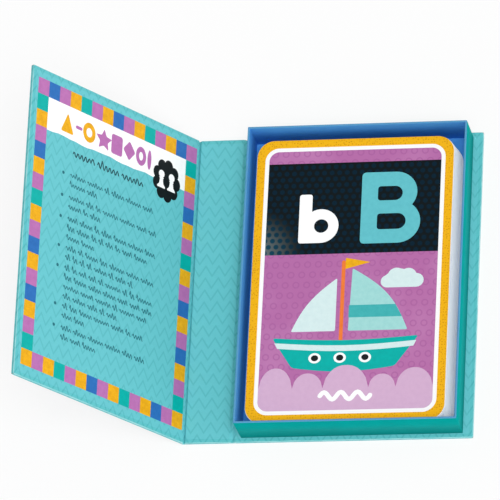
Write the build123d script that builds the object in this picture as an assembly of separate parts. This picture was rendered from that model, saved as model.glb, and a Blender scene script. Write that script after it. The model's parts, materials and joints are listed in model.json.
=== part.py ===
from build123d import *
import math
import os

# A book-style game box, lying open on its back, with a tray of picture cards.
# Millimetres. +Z is up out of the tray, +X runs from the spine to the fore edge,
# +Y runs from the foot of the box to its head.
# The origin is the centre of the back leaf's underside, on the table.

# Driving dimensions of the cards, which everything else is made round
CARD_WIDTH = 99.0
CARD_HEIGHT = 150.0
CARD_RADIUS = 8.5
CARD = 0.26  # coated card stock
CARD_AIR = 0.02  # air between two cards in the stack
CARD_SLIP_X = 0.25  # largest sideways slip of one card in the stack
CARD_SLIP_Y = 0.15
CARD_SLIP_TURN_X = 2.4  # radians from card to card, so that no two slips look alike
CARD_SLIP_TURN_Y = 1.7
DECK_LEAN = 2.4  # the lowest card lies this much nearer the fore edge than the top card
LETTERS = "abcdefghijklmnopqrstuvwxyz"
PAIR = 2  # alike cards for each letter, as a snap deck needs
TOP_LETTER = "b"  # the pair that lies on top, its two cards in nodes of their own

# Driving dimensions of the tray
TRAY_BOARD = 0.6  # floor and walls
GAP_SIDE = 4.75  # room beside the middle of the leaning deck, on each side
GAP_HEAD = 4.8  # the deck has slid towards the foot of the tray
GAP_FOOT = 0.6
DECK_TO_RIM = 5.64  # from the top card's face up to the rim
STAY = 0.1  # gummed paper tape over each corner, under the wrap
STAY_LEG = 10.0  # how far a stay reaches along each wall
STAY_MARGIN = 1.0  # bare wall above and below a stay

# Driving dimensions of the case
BOARD = 1.5  # greyboard of the three leaves
PAPER = 0.15  # printed outer paper
LINING = 0.15  # printed inner paper
TURN_IN = 14.0  # outer paper folded over each free edge
LINING_MARGIN = 2.0  # lining stops this far inside a free edge
MARGIN_SPINE = 2.5  # from the back leaf's joint edge to the tray
MARGIN_FORE = 5.0  # from the tray to the back leaf's free edges
MARGIN_HEAD = 2.4
MARGIN_FOOT = 2.2
FOLD_CLEARANCE = 0.1  # left between two leaves folded to a right angle
LID_CLEARANCE = 0.3  # between the rim and the closed cover
COVER_OPEN = 58.0  # degrees that the cover is lifted from flat, as photographed

# Thicknesses that follow
LEAF = PAPER + BOARD + PAPER + LINING  # a finished leaf
FOLD_Z = PAPER  # the joints fold where the two papers meet
WALL_OUT = PAPER + STAY  # from the tray wrap's outside to the wall board
WALL_IN = WALL_OUT + TRAY_BOARD  # from the wrap's outside to the wall's inside
CLEAR_IN = WALL_IN + LINING  # from the wrap's outside to the clear inside

# Heights that follow
CARD_PITCH = CARD + CARD_AIR
TRAY_Z0 = LEAF
FLOOR_Z = TRAY_Z0 + PAPER + TRAY_BOARD + LINING  # top of the floor lining
DECK_TOP = FLOOR_Z + PAIR * len(LETTERS) * CARD_PITCH
RIM_Z = DECK_TOP + DECK_TO_RIM
WALL_TOP = RIM_Z - LINING

# Widths that follow
TRAY_WIDTH = CARD_WIDTH + 2 * GAP_SIDE + 2 * CLEAR_IN
TRAY_HEIGHT = CARD_HEIGHT + GAP_HEAD + GAP_FOOT + 2 * CLEAR_IN
CASE_WIDTH = MARGIN_SPINE + TRAY_WIDTH + MARGIN_FORE  # back leaf and cover leaf
CASE_HEIGHT = MARGIN_FOOT + TRAY_HEIGHT + MARGIN_HEAD  # every leaf, foot to head
JOINT = 2 * (LEAF - FOLD_Z + FOLD_CLEARANCE)  # paper-only strip between two leaves
SPINE_PITCH = RIM_Z + LID_CLEARANCE + LEAF - 2 * FOLD_Z  # fold line to fold line
SPINE_WIDTH = SPINE_PITCH - JOINT

# Places that follow
BACK_FOLD_X = -CASE_WIDTH / 2 - JOINT / 2
FRONT_FOLD_X = BACK_FOLD_X - SPINE_PITCH
HALF_HEIGHT = CASE_HEIGHT / 2
TRAY_X0 = -CASE_WIDTH / 2 + MARGIN_SPINE
TRAY_X1 = TRAY_X0 + TRAY_WIDTH
TRAY_Y0 = -HALF_HEIGHT + MARGIN_FOOT
TRAY_Y1 = TRAY_Y0 + TRAY_HEIGHT
CARD_X = TRAY_X0 + CLEAR_IN + GAP_SIDE + CARD_WIDTH / 2
CARD_Y = TRAY_Y0 + CLEAR_IN + GAP_FOOT + CARD_HEIGHT / 2


def block(x0, x1, y0, y1, z0, z1):
    """A box between two corners."""
    return Pos((x0 + x1) / 2, (y0 + y1) / 2, (z0 + z1) / 2) * Box(x1 - x0, y1 - y0, z1 - z0)


def keep(name, *solids):
    """Writes one named piece, as one solid or a group of separate solids."""
    shape = solids[0] if len(solids) == 1 else Compound(children=list(solids))
    export_step(shape, os.path.join("parts", name + ".step"))


def leaf(width, free_left, free_right):
    """Board, outer paper and lining of one leaf, lying on its outer face.

    Its left edge is at x = 0. A free edge has the outer paper folded over it.
    At a joint edge the papers run on, so the leaf ends square there.
    """
    edge_left = PAPER if free_left else 0.0
    edge_right = PAPER if free_right else 0.0
    board_top = PAPER + BOARD
    turned_top = board_top + PAPER
    board = block(edge_left, width - edge_right, -HALF_HEIGHT + PAPER, HALF_HEIGHT - PAPER, PAPER, board_top)
    window = block(
        TURN_IN if free_left else 0.0,
        width - TURN_IN if free_right else width,
        -HALF_HEIGHT + TURN_IN,
        HALF_HEIGHT - TURN_IN,
        board_top,
        turned_top,
    )
    sheet = block(0, width, -HALF_HEIGHT, HALF_HEIGHT, 0, turned_top)
    wrap = sheet - board - window
    lining_sheet = block(
        LINING_MARGIN if free_left else 0.0,
        width - LINING_MARGIN if free_right else width,
        -HALF_HEIGHT + LINING_MARGIN,
        HALF_HEIGHT - LINING_MARGIN,
        turned_top,
        turned_top + LINING,
    )
    return board, wrap, lining_sheet + window


def joint_strips(fold_x, lifted):
    """Outer and inner paper of a joint, whose left side is lifted by an angle.

    Seen along Y they are flat strips on each side of the fold line. The inner
    paper also lines the two leaves' edges, which face each other.
    """
    half = JOINT / 2
    rise = LEAF - FOLD_Z

    def both_sides(left, right):
        return right + Rot(0, lifted, 0) * left

    def inner_half(side):
        flat = block(*sorted((0, side * half)), -HALF_HEIGHT, HALF_HEIGHT, 0, LINING)
        edge = block(*sorted((side * (half - LINING), side * half)), -HALF_HEIGHT, HALF_HEIGHT, 0, rise)
        return flat + edge

    span = block(-2 * half, 2 * half, -HALF_HEIGHT + LINING_MARGIN, HALF_HEIGHT - LINING_MARGIN, -half, 2 * rise)
    inner_full = both_sides(inner_half(-1), inner_half(1))
    outer = both_sides(
        block(-half, 0, -HALF_HEIGHT, HALF_HEIGHT, -PAPER, 0),
        block(0, half, -HALF_HEIGHT, HALF_HEIGHT, -PAPER, 0),
    )
    if lifted:
        outer += Rot(90, 0, 0) * Cylinder(PAPER, CASE_HEIGHT)
        outer -= inner_full
    place = Pos(fold_x, 0, FOLD_Z)
    return place * outer, place * (inner_full & span)


def back_leaf():
    board, wrap, lining = leaf(CASE_WIDTH, False, True)
    place = Pos(-CASE_WIDTH / 2, 0, 0)
    keep("back_board", place * board)
    keep("back_wrap", place * wrap)
    keep("back_lining", place * lining)


def spine_leaf():
    board, wrap, lining = leaf(SPINE_WIDTH, False, False)
    place = Pos(FRONT_FOLD_X + JOINT / 2, 0, 0)
    keep("spine_board", place * board)
    keep("spine_wrap", place * wrap)
    keep("spine_lining", place * lining)


def cover_leaf():
    board, wrap, lining = leaf(CASE_WIDTH, True, False)
    lift = Pos(FRONT_FOLD_X, 0, FOLD_Z) * Rot(0, COVER_OPEN, 0)
    place = lift * Pos(-JOINT / 2 - CASE_WIDTH, 0, -FOLD_Z)
    keep("cover_board", place * board)
    keep("cover_wrap", place * wrap)
    keep("cover_lining", place * lining)


def joints():
    outer, inner = joint_strips(BACK_FOLD_X, 0.0)
    keep("back_joint_wrap", outer)
    keep("back_joint_lining", inner)
    outer, inner = joint_strips(FRONT_FOLD_X, COVER_OPEN)
    keep("front_joint_wrap", outer)
    keep("front_joint_lining", inner)


def inset(by, z0, z1):
    """A block that follows the tray's outline, drawn in on all four sides."""
    return block(TRAY_X0 + by, TRAY_X1 - by, TRAY_Y0 + by, TRAY_Y1 - by, z0, z1)


def tray_boards():
    floor_bottom = TRAY_Z0 + PAPER
    keep("tray_floor_board", inset(WALL_IN, floor_bottom, floor_bottom + TRAY_BOARD))
    x0, x1 = TRAY_X0 + WALL_OUT, TRAY_X1 - WALL_OUT
    y0, y1 = TRAY_Y0 + WALL_OUT, TRAY_Y1 - WALL_OUT
    keep("tray_wall_spine_side", block(x0, x0 + TRAY_BOARD, y0, y1, floor_bottom, WALL_TOP))
    keep("tray_wall_fore_side", block(x1 - TRAY_BOARD, x1, y0, y1, floor_bottom, WALL_TOP))
    across = (x0 + TRAY_BOARD, x1 - TRAY_BOARD)
    keep("tray_wall_foot", block(*across, y0, y0 + TRAY_BOARD, floor_bottom, WALL_TOP))
    keep("tray_wall_head", block(*across, y1 - TRAY_BOARD, y1, floor_bottom, WALL_TOP))


def tray_corner_stays():
    """Four L-shaped tapes, each folded round one outside corner of the walls."""
    z0, z1 = TRAY_Z0 + PAPER + STAY_MARGIN, WALL_TOP - STAY_MARGIN
    ring = inset(PAPER, z0, z1) - inset(WALL_OUT, z0, z1)
    stays = []
    for corner_x in (TRAY_X0, TRAY_X1):
        for corner_y in (TRAY_Y0, TRAY_Y1):
            reach = block(
                corner_x - STAY_LEG, corner_x + STAY_LEG, corner_y - STAY_LEG, corner_y + STAY_LEG, z0, z1
            )
            stays.append(ring & reach)
    keep("tray_corner_stays", *stays)


def tray_papers():
    wrap = inset(0, TRAY_Z0, WALL_TOP) - inset(PAPER, TRAY_Z0 + PAPER, WALL_TOP)
    keep("tray_wrap", wrap)
    floor_top = TRAY_Z0 + PAPER + TRAY_BOARD
    rim = inset(0, WALL_TOP, RIM_Z) - inset(CLEAR_IN, WALL_TOP, RIM_Z)
    skin = inset(WALL_IN, floor_top, RIM_Z) - inset(CLEAR_IN, floor_top, RIM_Z)
    keep("tray_wall_lining", rim + skin)
    keep("tray_floor_lining", inset(CLEAR_IN, floor_top, FLOOR_Z))


def card(level):
    """One card of the stack, counted from the floor, which leans and slips a little sideways."""
    lean = DECK_LEAN * (0.5 - level / (PAIR * len(LETTERS) - 1))
    slip_x = lean + CARD_SLIP_X * math.sin(CARD_SLIP_TURN_X * level)
    slip_y = CARD_SLIP_Y * math.cos(CARD_SLIP_TURN_Y * level)
    outline = RectangleRounded(CARD_WIDTH, CARD_HEIGHT, CARD_RADIUS)
    bottom = FLOOR_Z + CARD_AIR + level * CARD_PITCH
    return Pos(CARD_X + slip_x, CARD_Y + slip_y, bottom) * extrude(outline, CARD)


def deck():
    """Two cards for each letter, as packed: z at the bottom, the top pair last."""
    below_top = [letter for letter in reversed(LETTERS) if letter != TOP_LETTER]
    for place, letter in enumerate(below_top):
        first = place * PAIR
        keep("card_pair_" + letter, *[card(first + i) for i in range(PAIR)])
    first = len(below_top) * PAIR
    keep("card_" + TOP_LETTER + "_under", card(first))
    keep("card_" + TOP_LETTER + "_top", card(first + 1))


def main():
    os.makedirs("parts", exist_ok=True)
    back_leaf()
    spine_leaf()
    cover_leaf()
    joints()
    tray_boards()
    tray_corner_stays()
    tray_papers()
    deck()
    print("fold lines x", round(BACK_FOLD_X, 3), round(FRONT_FOLD_X, 3), "z", FOLD_Z)
    print("spine pitch", round(SPINE_PITCH, 3), "joint", round(JOINT, 3), "rim z", round(RIM_Z, 3))
    print("leaf", round(CASE_WIDTH, 3), "x", round(CASE_HEIGHT, 3), "spine", round(SPINE_WIDTH, 3))
    print("tray x", round(TRAY_X0, 3), round(TRAY_X1, 3), "y", round(TRAY_Y0, 3), round(TRAY_Y1, 3))
    print("deck centre", round(CARD_X, 3), round(CARD_Y, 3), "top z", round(DECK_TOP, 3))


main()
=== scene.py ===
# %% [markdown]
# # An alphabet snap game in a book-style box
#
# The real object is paper and board: three leaves of greyboard wrapped in printed paper, a thin-walled
# tray glued to the last leaf, and a deck of coated cards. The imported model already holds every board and
# sheet at its real size. This file adds what paper shows: rounded wrapped edges, folded joints that bend
# with the cover, printed ink as very thin films, and one material for each kind of paper and ink.
# Lengths are in metres. A size in millimetres is written as a number times MM.

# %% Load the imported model
import json
import math

import bpy
import numpy as np
from mathutils import Matrix, Vector
from mathutils.geometry import tessellate_polygon


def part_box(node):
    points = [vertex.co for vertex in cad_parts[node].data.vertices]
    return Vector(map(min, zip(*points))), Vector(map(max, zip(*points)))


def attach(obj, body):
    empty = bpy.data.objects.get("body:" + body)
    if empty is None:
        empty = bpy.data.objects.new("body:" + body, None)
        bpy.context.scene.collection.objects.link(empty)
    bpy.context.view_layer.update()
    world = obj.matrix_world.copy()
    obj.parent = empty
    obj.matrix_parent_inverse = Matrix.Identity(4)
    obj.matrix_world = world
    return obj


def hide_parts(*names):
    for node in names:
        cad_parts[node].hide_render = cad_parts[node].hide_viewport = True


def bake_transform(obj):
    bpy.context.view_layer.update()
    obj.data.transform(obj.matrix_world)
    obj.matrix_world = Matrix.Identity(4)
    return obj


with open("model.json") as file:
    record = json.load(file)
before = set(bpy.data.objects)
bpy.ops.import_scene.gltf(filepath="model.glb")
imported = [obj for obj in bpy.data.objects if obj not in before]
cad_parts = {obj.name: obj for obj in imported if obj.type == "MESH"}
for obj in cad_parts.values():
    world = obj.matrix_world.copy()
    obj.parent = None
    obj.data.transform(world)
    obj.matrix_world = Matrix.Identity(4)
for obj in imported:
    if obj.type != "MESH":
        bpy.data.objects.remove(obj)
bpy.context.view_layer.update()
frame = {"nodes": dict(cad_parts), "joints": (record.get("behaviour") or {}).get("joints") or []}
MM = 0.001

# %% [markdown]
# ## Sizes read from the model
#
# Nothing is measured twice. The leaves, the fold lines and the deck are read from the model's own boxes
# and joints, so a changed box size moves the paper and the print with it. The cover is drawn lying flat,
# where its print is easy to lay out, and is lifted to its photographed angle at the end.

# %% Read the leaves and the folds
joint = {j["name"]: j for j in frame["joints"]}
BACK_FOLD = joint["back_hinge"]["pos_m"][0]
FRONT_FOLD = joint["front_hinge"]["pos_m"][0]
FOLD_Z = joint["front_hinge"]["pos_m"][2]
COVER_OPEN = -math.radians(joint["front_hinge"]["range_deg"][0])

back_low, back_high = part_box("back_wrap")
LEAF_WIDTH = back_high.x - back_low.x
HALF_HEIGHT = back_high.y
HALF_JOINT = back_low.x - BACK_FOLD
LEAF_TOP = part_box("back_lining")[1].z
WRAP_TOP = back_high.z
PAPER = LEAF_TOP - WRAP_TOP
LINING_MARGIN = back_high.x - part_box("back_lining")[1].x
spine_low, spine_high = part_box("spine_wrap")
COVER_X1 = FRONT_FOLD - HALF_JOINT
COVER_X0 = COVER_X1 - LEAF_WIDTH
print("leaf", round(LEAF_WIDTH / MM, 2), "x", round(2 * HALF_HEIGHT / MM, 2), "mm")

# %% [markdown]
# The tray and the cards are measured the same way. The wrap gives the tray's outside, the linings give its
# rim and floor, and the top card gives the size of every card.

# %% Read the tray and the deck
tray_low, tray_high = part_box("tray_wrap")
RIM_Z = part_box("tray_wall_lining")[1].z
FLOOR_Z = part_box("tray_floor_lining")[1].z
TRAY_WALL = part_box("tray_floor_lining")[0].x - tray_low.x
card_low, card_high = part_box("card_b_top")
CARD_WIDTH = card_high.x - card_low.x
CARD_HEIGHT = card_high.y - card_low.y
print("tray wall", round(TRAY_WALL / MM, 2), "mm")
print("card", round(CARD_WIDTH / MM, 2), "x", round(CARD_HEIGHT / MM, 2), "mm")

# %% [markdown]
# ## The camera
#
# The photograph is taken with a long lens, so edges that are parallel on the box stay almost parallel.
# A very long lens, three metres away, does that. The camera is also turned about its own line of sight,
# which brings the tray upright in the picture and lets the cover lean away to the upper left.

# %% Place the camera
CAMERA_AZIMUTH = math.radians(27.2)
CAMERA_ELEVATION = math.radians(65.15)
CAMERA_ROLL = math.radians(-26.6)
CAMERA_DISTANCE = 3.0
CAMERA_LENS = 436.4  # focal length in millimetres, on Blender's usual sensor
CAMERA_CLIP = 0.1, 20.0  # nearest and farthest distance that is drawn
AIM_RIGHT = -55.0 * MM  # from the origin to the point that the camera looks at
AIM_UP = 18.6 * MM


def turned_axes(azimuth, elevation, roll):
    """Right, up and back of a camera that looks at the origin and is turned about its line of sight."""
    level_part = math.cos(elevation)
    back = Vector((math.sin(azimuth) * level_part, -math.cos(azimuth) * level_part, math.sin(elevation)))
    level = Vector((0, 0, 1)).cross(back).normalized()
    right = math.cos(roll) * level + math.sin(roll) * back.cross(level)
    return right, back.cross(right), back


right, up, back = turned_axes(CAMERA_AZIMUTH, CAMERA_ELEVATION, CAMERA_ROLL)
camera = bpy.data.objects.new("camera", bpy.data.cameras.new("camera"))
bpy.context.scene.collection.objects.link(camera)
stand = Matrix.Translation(right * AIM_RIGHT + up * AIM_UP + back * CAMERA_DISTANCE)
camera.matrix_world = stand @ Matrix((right, up, back)).transposed().to_4x4()
camera.data.lens = CAMERA_LENS
camera.data.clip_start, camera.data.clip_end = CAMERA_CLIP
bpy.context.scene.camera = camera
print("camera at", [round(v, 3) for v in camera.matrix_world.translation])

# %% [markdown]
# ## Nodes and colours
#
# A material is a small graph of nodes. One function adds a node with its settings and its links, and
# gives back the socket that the next node reads. Colours are written as a designer would give them, as
# sRGB hex values, and one function turns them to the linear light that the renderer works in.

# %% Two helpers for every material
def add(tree, kind, inputs=(), out=0, **settings):
    """Adds one node. inputs is a list of sockets or values in order, or a dict by number or name."""
    node = tree.nodes.new("ShaderNode" + kind)
    for name, value in settings.items():
        setattr(node, name, value)
    for place, value in inputs.items() if isinstance(inputs, dict) else enumerate(inputs):
        if isinstance(value, bpy.types.NodeSocket):
            tree.links.new(value, node.inputs[place])
        elif value is not None:
            node.inputs[place].default_value = value
    return node.outputs[out] if node.outputs else node


def ink(code):
    """Linear colour of an sRGB hex code: c / 12.92 where dark, else ((c + 0.055) / 1.055) to the 2.4."""
    c = np.array([int(code[i:i + 2], 16) for i in (1, 3, 5)]) / 255
    linear = np.where(c <= 0.04045, c / 12.92, ((c + 0.055) / 1.055) ** 2.4)
    return (*linear.tolist(), 1.0)


print("teal", [round(v, 3) for v in ink("#69C5CD")])

# %% [markdown]
# ## The floor
#
# The picture is a studio cut-out on white. More light would whiten a floor, but it would bleach the box
# too. So the floor is a plain pale sheet, and to the camera most of it is replaced by an even white glow,
# which leaves only a soft shadow. Glossy surfaces see that white floor too.

# %% Lay the floor
FLOOR_SIZE = 1.6
FLOOR_DROP = 0.2 * MM  # just under the box, so that the two never touch
SHADOW_SHARE = 0.25  # share of the lit floor, with its shadow, in what the camera sees


def seen_directly(tree):
    """1 for a ray from the camera, or one that a glossy or clear surface sends on, and otherwise 0."""
    ray = add(tree, "LightPath").node.outputs
    seen = add(tree, "Math", [ray["Is Camera Ray"], ray["Is Glossy Ray"]], operation="MAXIMUM")
    return add(tree, "Math", [seen, ray["Is Transmission Ray"]], operation="MAXIMUM")


floor_mesh = bpy.data.meshes.new("floor")
corners = FLOOR_SIZE * np.array([(-1, -1), (1, -1), (1, 1), (-1, 1)])
floor_mesh.from_pydata([(x, y, -FLOOR_DROP) for x, y in corners.tolist()], [], [(0, 1, 2, 3)])
floor = bpy.data.objects.new("floor", floor_mesh)
bpy.context.scene.collection.objects.link(floor)

paint = bpy.data.materials.new("pale_studio_floor")
paint.use_nodes = True
tree = paint.node_tree
matt = tree.nodes["Principled BSDF"]
matt.inputs["Base Color"].default_value = ink("#F4F4F4")
matt.inputs["Roughness"].default_value = 0.9
glow = add(tree, "Emission", {"Color": (1, 1, 1, 1), "Strength": 1.0})
share = add(tree, "Math", [seen_directly(tree), 1 - SHADOW_SHARE], operation="MULTIPLY")
mixed = add(tree, "MixShader", [share, matt.outputs[0], glow])
tree.links.new(mixed, tree.nodes["Material Output"].inputs["Surface"])
floor_mesh.materials.append(paint)
print("floor", 2 * FLOOR_SIZE, "m wide")

# %% [markdown]
# ## The light
#
# A product picture has large soft lamps and a white room. An even pale world lights every side, and one
# soft lamp from above gives the tray walls and the edges their shading. A fill lamp from the front right
# casts no shadows, so the narrow gaps beside the deck stay blue instead of going black.

# %% Hang the lamps
WORLD_LEVEL = 0.42
LAMPS = {  # level, direction it shines from, softness in degrees, whether it casts shadows
    "soft_lamp": (1.55, Vector((0.20, -0.33, 0.922)), 30, True),
    "fill_lamp": (1.05, Vector((0.74, -0.46, 0.49)), 60, False),
}

world = bpy.data.worlds.new("studio")
bpy.context.scene.world = world
world.use_nodes = True
tree = world.node_tree
even = tree.nodes["Background"]
even.inputs["Color"].default_value = (1, 1, 1, 1)
even.inputs["Strength"].default_value = WORLD_LEVEL
white = add(tree, "Background", {"Color": (1, 1, 1, 1), "Strength": 1.0})
mixed = add(tree, "MixShader", [seen_directly(tree), even.outputs[0], white])
tree.links.new(mixed, tree.nodes["World Output"].inputs["Surface"])

for name, (level, shines_from, softness, shadows) in LAMPS.items():
    lamp = bpy.data.objects.new(name, bpy.data.lights.new(name, "SUN"))
    bpy.context.scene.collection.objects.link(lamp)
    lamp.data.energy = level
    lamp.data.angle = math.radians(softness)
    lamp.data.use_shadow = shadows
    lamp.rotation_euler = shines_from.to_track_quat("Z", "Y").to_euler()
bpy.context.scene.view_settings.view_transform = "Standard"
print("world", WORLD_LEVEL, "lamps", ", ".join(LAMPS))

# %% [markdown]
# ## What all papers share
#
# Paper, card and board differ in colour and gloss, but all of them are pressed fibres under more or less
# coating. So every sheet starts from the same three steps: a plain shader, a bump of fibres, and a colour
# that drifts a little in soft blotches, as printed ink does. Noise gives both the fibres and the blotches.

# %% Start a sheet, its grain and its mottle
MOTTLE = 2.5 * MM  # print mottle of laminated art paper
GRAIN = 0.35 * MM  # real fibres are finer: drawn coarse enough to show
PAPER_RELIEF = 0.01 * MM  # depth of the fibres under a laminated or coated print
CARD_RELIEF = 0.004 * MM  # varnished card is smoother
BOARD_RELIEF = 0.04 * MM
NOISE_SPAN = 0.35, 0.65  # most values of a noise lie between these


def sheet_material(name, roughness, specular=0.15):
    """A material and what its nodes hang on: the graph and its shader."""
    material = bpy.data.materials.new(name)
    material.use_nodes = True
    shader = material.node_tree.nodes["Principled BSDF"]
    shader.inputs["Roughness"].default_value = roughness
    shader.inputs["Specular IOR Level"].default_value = specular
    return material, material.node_tree, shader


def paper_grain(tree, shader, place, size, depth):
    """Bump of paper fibres: fine noise, as high as depth, read at the given coordinates."""
    fine = add(tree, "TexNoise", {"Vector": place, "Scale": 1 / size, "Detail": 3.0})
    height = add(tree, "Bump", {"Height": fine, "Distance": depth, "Strength": 0.6})
    tree.links.new(height, shader.inputs["Normal"])


def mottled(tree, place, size, colour, shade, share):
    """A colour that drifts towards a second one by a share, in soft blotches of a given size."""
    cloud = add(tree, "TexNoise", {"Vector": place, "Scale": 1 / size, "Detail": 4.0, "Roughness": 0.6})
    level = add(tree, "MapRange", [cloud, *NOISE_SPAN, 0.0, share])
    return over(tree, level, colour, shade)


def over(tree, share, below, above):
    """One colour over another where share is 1, and a mix of the two where it is less."""
    return add(tree, "Mix", {0: share, 6: below, 7: above}, out=2, data_type="RGBA")


def finish_nodes(names, material):
    """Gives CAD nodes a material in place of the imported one."""
    for name in names:
        slots = frame["nodes"][name].data.materials
        slots.clear()
        slots.append(material)


print("fibres of", round(GRAIN / MM, 2), "mm, mottle of", round(MOTTLE / MM, 2), "mm")

# %% [markdown]
# ## Rubbed and highlighted edges
#
# A box that is handled is rubbed paler along its folded edges, where the paper stands out most, and a
# rounded edge catches a highlight there. The pale colour stands for both, so it is rub and painted
# highlight together. Wear could be painted on by hand, but the two folds of a wrapped edge lie at known
# places on the unfolded sheet. So the sheet's own UV map tells how far a point lies beyond the leaf's
# outline, and the pale colour follows from it.

# %% Rub the folded edges and paint their highlight
EDGE_ROUND = 0.35 * MM  # paper bent round a board's edge
EDGE_RISE = WRAP_TOP - (4 - math.pi) * EDGE_ROUND  # paper from the lower fold of an edge to the upper one
PALE_EDGE_REACH = 0.45 * MM
PALE_EDGE_PATCH = 7.0 * MM
PALE_EDGE_SHARES = 0.25, 0.8  # share of the pale colour, rub and painted highlight, where the edge is palest least and most


def edge_rub_and_highlight(tree, flat, tone, pale):
    """Pale rub and painted highlight, in patches, along the two folds of a wrapped edge: 0 and EDGE_RISE
    beyond the outline.
    """
    axes = add(tree, "SeparateXYZ", [flat]).node.outputs
    upright = add(tree, "Math", [axes[1]], operation="ABSOLUTE")
    past_side = add(tree, "Math", [upright, HALF_HEIGHT], operation="SUBTRACT")
    past_fore = add(tree, "Math", [axes[0], back_high.x], operation="SUBTRACT")
    past_free = add(tree, "Math", [COVER_X0, axes[0]], operation="SUBTRACT")
    away = add(tree, "Math", [past_side, past_fore], operation="MAXIMUM")
    away = add(tree, "Math", [away, past_free], operation="MAXIMUM")
    for _ in range(2):
        away = add(tree, "Math", [away, 0.5 * EDGE_RISE], operation="SUBTRACT")
        away = add(tree, "Math", [away], operation="ABSOLUTE")
    # painted highlight and rub: the pale colour is strongest on the two folds, in patches
    near = add(tree, "MapRange", [away, 0.0, PALE_EDGE_REACH, 1.0, 0.0])
    patchy = add(tree, "TexNoise", {"Vector": flat, "Scale": 1 / PALE_EDGE_PATCH, "Detail": 3.0})
    patchy = add(tree, "MapRange", [patchy, *NOISE_SPAN, *PALE_EDGE_SHARES])
    rubbed = add(tree, "Math", [near, patchy], operation="MULTIPLY")
    return over(tree, rubbed, tone, ink(pale))


print("paper from fold to fold of an edge", round(EDGE_RISE / MM, 2), "mm")

# %% [markdown]
# ## Case paper
#
# The case is wrapped and lined with matt laminated art paper, offset printed: a teal ground with fine
# zigzag rows only a shade darker. A photograph of the print could be wrapped on, but a formula stays
# sharp at any size. The zigzag is a triangle wave along x added to y, and its distance from the nearest
# row draws the line. The film on it is matt, so it shines only broadly.

# %% Print the zigzag paper
ZIGZAG_PERIOD = 6.55 * MM
ZIGZAG_RISE = 5.3 * MM
ZIGZAG_ROW = 6.4 * MM
ZIGZAG_LINE = 0.8 * MM


def zigzag_paper(name, ground, line, deep, pale=None):
    """Laminated paper with zigzag rows: distance of y + triangle(x) from the nearest row, made a line.

    pale is the colour of the rub and the painted highlight along the folded edges, on the sheet that is
    folded over them.
    """
    material, tree, shader = sheet_material(name, 0.42)
    flat = add(tree, "TexCoord", out="UV")
    axes = add(tree, "SeparateXYZ", [flat]).node
    fold = add(tree, "Math", [axes.outputs[0], ZIGZAG_PERIOD / 2], operation="PINGPONG")
    slope = 2 * ZIGZAG_RISE / ZIGZAG_PERIOD
    raised = add(tree, "Math", [fold, slope, axes.outputs[1]], operation="MULTIPLY_ADD")
    away = add(tree, "Math", [raised, ZIGZAG_ROW / 2], operation="PINGPONG")
    steep = math.hypot(1, slope)
    edges = [away, 0.2 * ZIGZAG_LINE * steep, 0.7 * ZIGZAG_LINE * steep, 1.0, 0.0]
    drawn = add(tree, "MapRange", edges, interpolation_type="SMOOTHSTEP")
    base = mottled(tree, flat, MOTTLE, ink(ground), ink(deep), 0.35)
    printed = over(tree, drawn, base, ink(line))
    # pale edges: rub and a painted highlight along the folds
    if pale:
        printed = edge_rub_and_highlight(tree, flat, printed, pale)
    tree.links.new(printed, shader.inputs["Base Color"])
    paper_grain(tree, shader, flat, GRAIN, PAPER_RELIEF)
    return material


lining_paper = zigzag_paper("laminated_art_paper_lining", "#69C5CD", "#5CB9C0", "#63BEC6")
# BFE6E6 is painted along the folded edges as rub and highlight together
wrap_paper = zigzag_paper("laminated_art_paper_wrap", "#62C1C6", "#52B2B8", "#5BB9BF", pale="#BFE6E6")
print("papers", lining_paper.name, wrap_paper.name)

# %% [markdown]
# ## Papers round the boards
#
# A wrapped board has no sharp edge, because the paper bends round it. A modifier could round a plain box,
# but the print has to run on round the edge. So each sheet is worked out from outlines, rectangles with
# rounded corners, and gets a UV map of the unfolded sheet. One function draws an outline, and another
# makes a mesh of points and faces and hangs it on its body.

# %% Draw an outline and make a piece
CORNER_STEPS = 6


def rounded_outline(x0, x1, y0, y1, radii):
    """Anticlockwise rectangle as complex numbers: at each corner, centre + radius (cos a + i sin a)."""
    radius = np.broadcast_to(radii, 4)[:, None]  # right foot, right head, left head, left foot
    tip = np.array([x1 + 1j * y0, x1 + 1j * y1, x0 + 1j * y1, x0 + 1j * y0])[:, None]
    centre = tip + radius * np.array([-1 + 1j, -1 - 1j, 1 - 1j, 1 + 1j])[:, None]
    turn = np.arange(-1, 3)[:, None] * np.pi / 2 + np.linspace(0, np.pi / 2, CORNER_STEPS)
    return (centre + radius * np.exp(1j * turn)).ravel()


def make_piece(name, points, faces, material, body, flat=None, smooth=None):
    """A mesh at the origin with its points in place. flat holds each face corner's UV, in metres."""
    mesh = bpy.data.meshes.new(name)
    mesh.from_pydata(points.tolist(), [], faces)
    if flat is not None:
        pairs = np.stack([flat.real, flat.imag], -1).astype(np.float32)
        mesh.uv_layers.new(name="flat").data.foreach_set("uv", pairs.ravel())
    if smooth is not None:
        mesh.polygons.foreach_set("use_smooth", smooth)
    mesh.materials.append(material)
    piece = bpy.data.objects.new(name, mesh)
    bpy.context.scene.collection.objects.link(piece)
    if body:
        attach(piece, body)
    return piece


print("an outline has", len(rounded_outline(0, 1, 0, 1, 0.1)), "points")

# %% [markdown]
# Outlines become a solid sheet when neighbours are joined by four-sided faces, from the lowest ring to the
# highest. A leaf's stack ends in two lids. A tray wall's stack runs up one side and down the other, so its
# last ring meets its first.

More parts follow.
